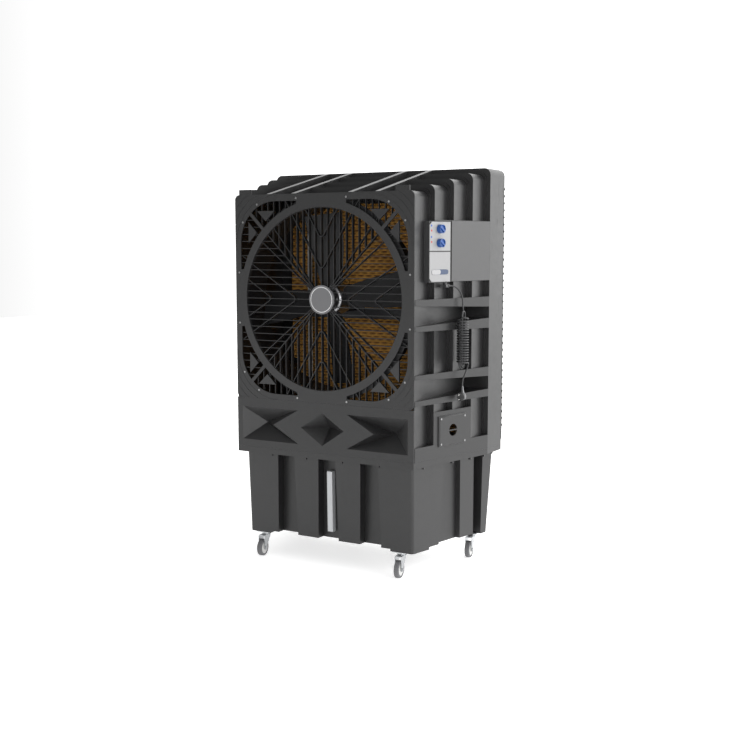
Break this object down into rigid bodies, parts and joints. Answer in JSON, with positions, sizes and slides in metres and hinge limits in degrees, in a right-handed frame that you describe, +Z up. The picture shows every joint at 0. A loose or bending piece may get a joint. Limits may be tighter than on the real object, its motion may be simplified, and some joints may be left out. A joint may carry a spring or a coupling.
{
  "type": "evaporative cooler",
  "caption": "Tall mobile evaporative air cooler: water tank on swivel castors, stepped cabinet with guarded axial fan, louvred wet pads behind, side controls and coiled mains lead.",
  "frame": {"origin": "on the floor, under the middle of the cabinet", "axes": "+Z up, -Y towards the air outlet at the front, +X towards the side with the controls and the mains lead"},
  "size_m": [1.1262, 0.6352, 1.7298],
  "materials": {
    "tank_plastic": "semi-gloss moulded",
    "shell_plastic": "semi-gloss moulded",
    "front_plastic": "fine grained",
    "frame_plastic": "fine grained",
    "black_plastic": "satin",
    "gauge_plastic": "clear satin",
    "hub_plastic": "satin",
    "blade_plastic": "satin",
    "white_plastic": "satin",
    "blue_plastic": "satin",
    "wheel_plastic": "moulded",
    "steel": "bright",
    "zinc_steel": "zinc plated",
    "aluminium": "cast",
    "motor_paint": "satin paint",
    "brass": "plain",
    "pad_paper": "corrugated cellulose",
    "cord_rubber": "satin",
    "plug_rubber": "moulded",
    "tyre_rubber": "moulded"
  },
  "bodies": {
    "cabinet": {"tank": "tank_plastic", "level_gauge": "gauge_plastic", "housing_shell": "shell_plastic", "lower_front_panel": "front_plastic", "fan_plate": "front_plastic", "front_guard": "black_plastic", "guard_hub": "hub_plastic", "panel_screws": "steel", "fan_shroud": "black_plastic", "motor_body": "motor_paint", "motor_frame": "motor_paint", "rear_frame": "frame_plastic", "louvre_grille": "black_plastic", "pad_left": "pad_paper", "pad_middle": "pad_paper", "pad_right": "pad_paper", "pad_tray": "black_plastic", "water_tray": "black_plastic", "distribution_pipe": "white_plastic", "riser_pipe": "white_plastic", "pump": "black_plastic", "float_valve": "brass", "inlet_hatch": "frame_plastic", "control_box": "shell_plastic", "upper_panel": "white_plastic", "lower_panel": "white_plastic", "rotary_switches": "black_plastic", "side_plate": "frame_plastic", "cord_gland": "black_plastic", "cord_lead": "cord_rubber", "cord_hank": "cord_rubber", "cord_tail": "cord_rubber", "plug_body": "plug_rubber", "plug_pins": "steel", "castor_plates": "zinc_steel"},
    "fan": {"fan_hub": "aluminium", "fan_blades": "blade_plastic", "motor_shaft": "steel"},
    "speed_dial": {"speed_knob": "blue_plastic"},
    "pump_dial": {"pump_knob": "blue_plastic"},
    "switch": {"switch_slider": "white_plastic"},
    "float": {"float_arm": "brass", "float_ball": "white_plastic"},
    "drain": {"drain_plug": "tank_plastic"},
    "castor_front_left": {"castor_fork_front_left": "zinc_steel", "castor_axle_front_left": "steel"},
    "wheel_front_left": {"castor_wheel_front_left": "wheel_plastic", "castor_tyre_front_left": "tyre_rubber"},
    "castor_front_right": {"castor_fork_front_right": "zinc_steel", "castor_axle_front_right": "steel"},
    "wheel_front_right": {"castor_wheel_front_right": "wheel_plastic", "castor_tyre_front_right": "tyre_rubber"},
    "castor_rear_left": {"castor_fork_rear_left": "zinc_steel", "castor_axle_rear_left": "steel"},
    "wheel_rear_left": {"castor_wheel_rear_left": "wheel_plastic", "castor_tyre_rear_left": "tyre_rubber"},
    "castor_rear_right": {"castor_fork_rear_right": "zinc_steel", "castor_axle_rear_right": "steel"},
    "wheel_rear_right": {"castor_wheel_rear_right": "wheel_plastic", "castor_tyre_rear_right": "tyre_rubber"}
  },
  "joints": [
    {"name": "fan_spin", "type": "hinge", "parent": "cabinet", "child": "fan", "pos_m": [0, -0.216, 1.1693], "axis": [0, 1, 0], "continuous": true},
    {"name": "swivel_front_left", "type": "hinge", "parent": "cabinet", "child": "castor_front_left", "pos_m": [-0.35861, -0.23395, 0.0935], "axis": [0, 0, 1], "continuous": true},
    {"name": "swivel_front_right", "type": "hinge", "parent": "cabinet", "child": "castor_front_right", "pos_m": [0.34859, -0.23395, 0.0935], "axis": [0, 0, 1], "continuous": true},
    {"name": "swivel_rear_left", "type": "hinge", "parent": "cabinet", "child": "castor_rear_left", "pos_m": [-0.47631, 0.20635, 0.0935], "axis": [0, 0, 1], "continuous": true},
    {"name": "swivel_rear_right", "type": "hinge", "parent": "cabinet", "child": "castor_rear_right", "pos_m": [0.46629, 0.20635, 0.0935], "axis": [0, 0, 1], "continuous": true},
    {"name": "roll_front_left", "type": "hinge", "parent": "castor_front_left", "child": "wheel_front_left", "pos_m": [-0.3536, -0.2696, 0.0375], "axis": [0.9903, 0.1392, 0], "continuous": true},
    {"name": "roll_front_right", "type": "hinge", "parent": "castor_front_right", "child": "wheel_front_right", "pos_m": [0.3536, -0.2696, 0.0375], "axis": [0.9903, 0.1392, 0], "continuous": true},
    {"name": "roll_rear_left", "type": "hinge", "parent": "castor_rear_left", "child": "wheel_rear_left", "pos_m": [-0.4713, 0.1707, 0.0375], "axis": [0.9903, 0.1392, 0], "continuous": true},
    {"name": "roll_rear_right", "type": "hinge", "parent": "castor_rear_right", "child": "wheel_rear_right", "pos_m": [0.4713, 0.1707, 0.0375], "axis": [0.9903, 0.1392, 0], "continuous": true},
    {"name": "speed_turn", "type": "hinge", "parent": "cabinet", "child": "speed_dial", "pos_m": [0.49615, -0.17515, 1.465], "axis": [0.9731, -0.2303, 0], "range_deg": [0, 270]},
    {"name": "pump_turn", "type": "hinge", "parent": "cabinet", "child": "pump_dial", "pos_m": [0.49615, -0.17515, 1.408], "axis": [0.9731, -0.2303, 0], "range_deg": [0, 90]},
    {"name": "switch_slide", "type": "slide", "parent": "cabinet", "child": "switch", "axis": [0.2303, 0.9731, 0], "range_m": [0, 0.05]},
    {"name": "float_swing", "type": "hinge", "parent": "cabinet", "child": "float", "pos_m": [0.4, -0.075, 0.458], "axis": [0, 1, 0], "range_deg": [-30, 8]},
    {"name": "plug_turn", "type": "hinge", "parent": "cabinet", "child": "drain", "pos_m": [0, 0.225, 0.15], "axis": [0, 1, 0], "continuous": true}
  ]
}
